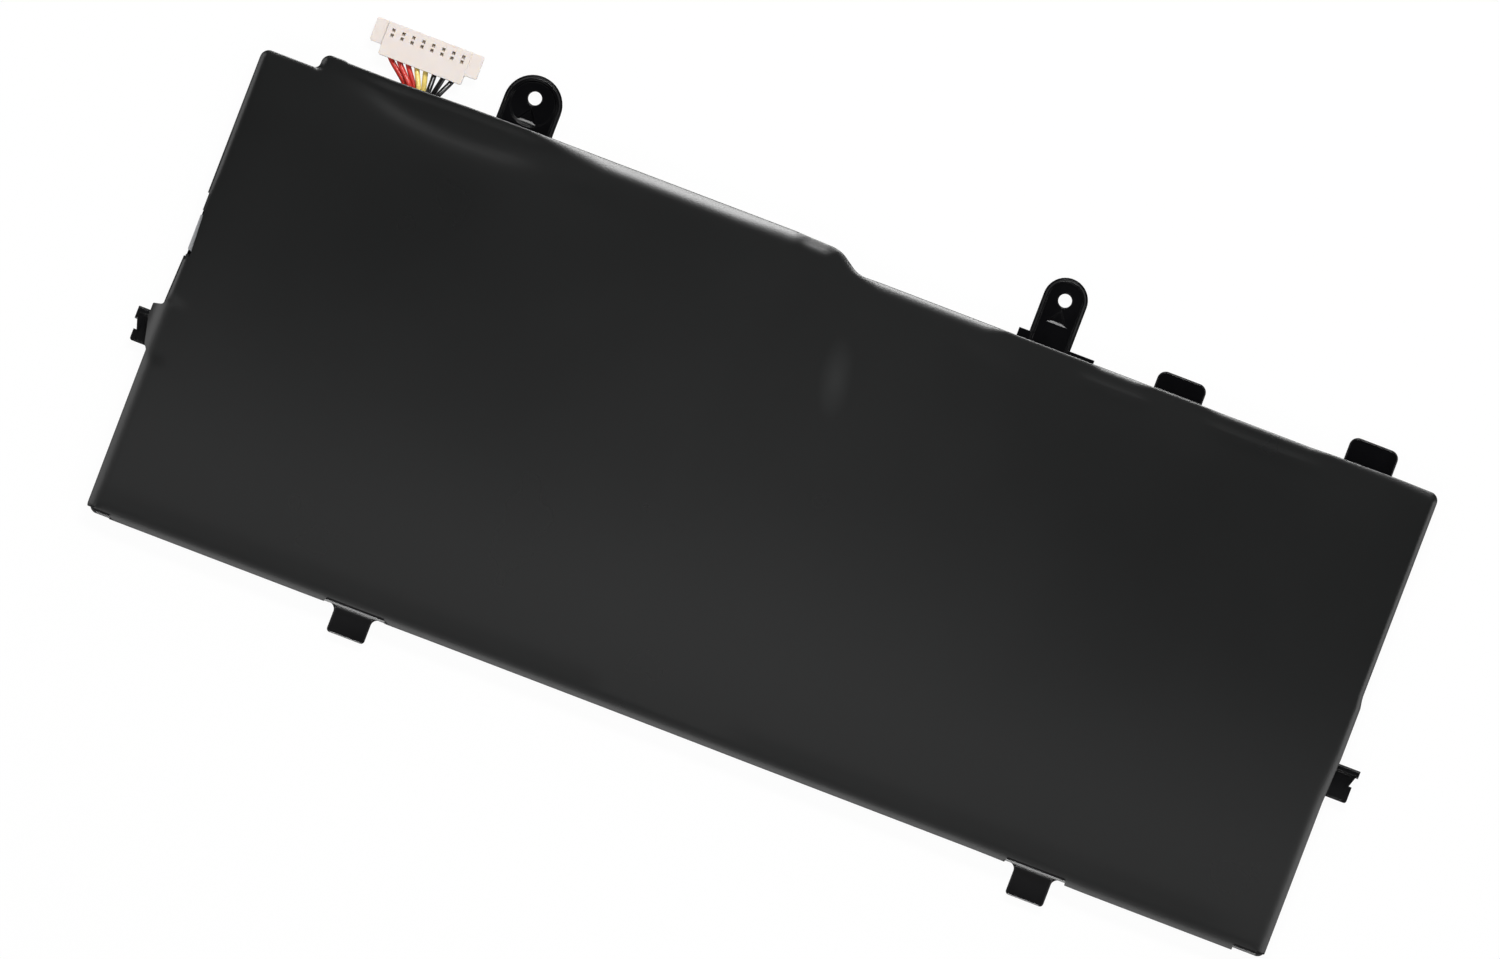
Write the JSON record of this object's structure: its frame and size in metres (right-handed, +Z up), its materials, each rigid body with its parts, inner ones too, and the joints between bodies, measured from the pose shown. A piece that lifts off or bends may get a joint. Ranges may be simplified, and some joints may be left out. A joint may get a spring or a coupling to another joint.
{
  "type": "laptop battery",
  "caption": "Thin flat laptop battery pack in a black film, with screw ears, hook tabs, side clips and a short multi-lead plug.",
  "frame": {"origin": "on the underside, below the middle of the pack's rectangular body", "axes": "+X along the pack to the side away from the plug, +Y towards the screw ears, +Z up out of the plain film face"},
  "size_m": [0.2452, 0.1122, 0.0053],
  "materials": {
    "moulded_frame": "fine moulded satin black",
    "face_film": "satin black film",
    "base_film": "satin black film",
    "cell_pouch": "laminated pouch foil, soft silver",
    "adhesive": "clear adhesive sheet",
    "tab_aluminium": "bright foil",
    "nickel": "rolled nickel",
    "board_laminate": "solder-masked glass laminate",
    "solder": "bright solder",
    "chip_resin": "moulded chip resin",
    "fuse_body": "pale ceramic body",
    "chip_ceramic": "fired ceramic",
    "insulating_paper": "black insulating paper",
    "plug_nylon": "ivory moulded nylon",
    "tinned_contact": "tinned spring metal",
    "red_insulation": "glossy insulation",
    "yellow_insulation": "glossy insulation",
    "black_insulation": "glossy insulation"
  },
  "bodies": {
    "root": {"frame": "moulded_frame", "top_film": "face_film", "bottom_film": "base_film", "left_cell": "cell_pouch", "right_cell": "cell_pouch", "left_base_tape": "adhesive", "left_face_tape": "adhesive", "right_base_tape": "adhesive", "right_face_tape": "adhesive", "left_positive_tab": "tab_aluminium", "right_positive_tab": "tab_aluminium", "left_negative_tab": "nickel", "right_negative_tab": "nickel", "near_strap": "nickel", "far_strap": "nickel", "weld_plates": "nickel", "circuit_board": "board_laminate", "lead_solder": "solder", "charge_switch": "chip_resin", "discharge_switch": "chip_resin", "gauge_chip": "chip_resin", "protector_chip": "chip_resin", "safety_fuse": "fuse_body", "sense_resistor": "chip_resin", "thermistor": "chip_resin", "chip_capacitors": "chip_ceramic", "chip_resistors": "chip_resin", "board_cover": "insulating_paper", "plug_housing": "plug_nylon", "plug_contacts": "tinned_contact", "red_lead_1": "red_insulation", "black_lead_1": "black_insulation", "red_lead_2": "red_insulation", "black_lead_2": "black_insulation", "red_lead_3": "red_insulation", "black_lead_3": "black_insulation", "yellow_lead_1": "yellow_insulation", "yellow_lead_2": "yellow_insulation"}
  },
  "joints": []
}
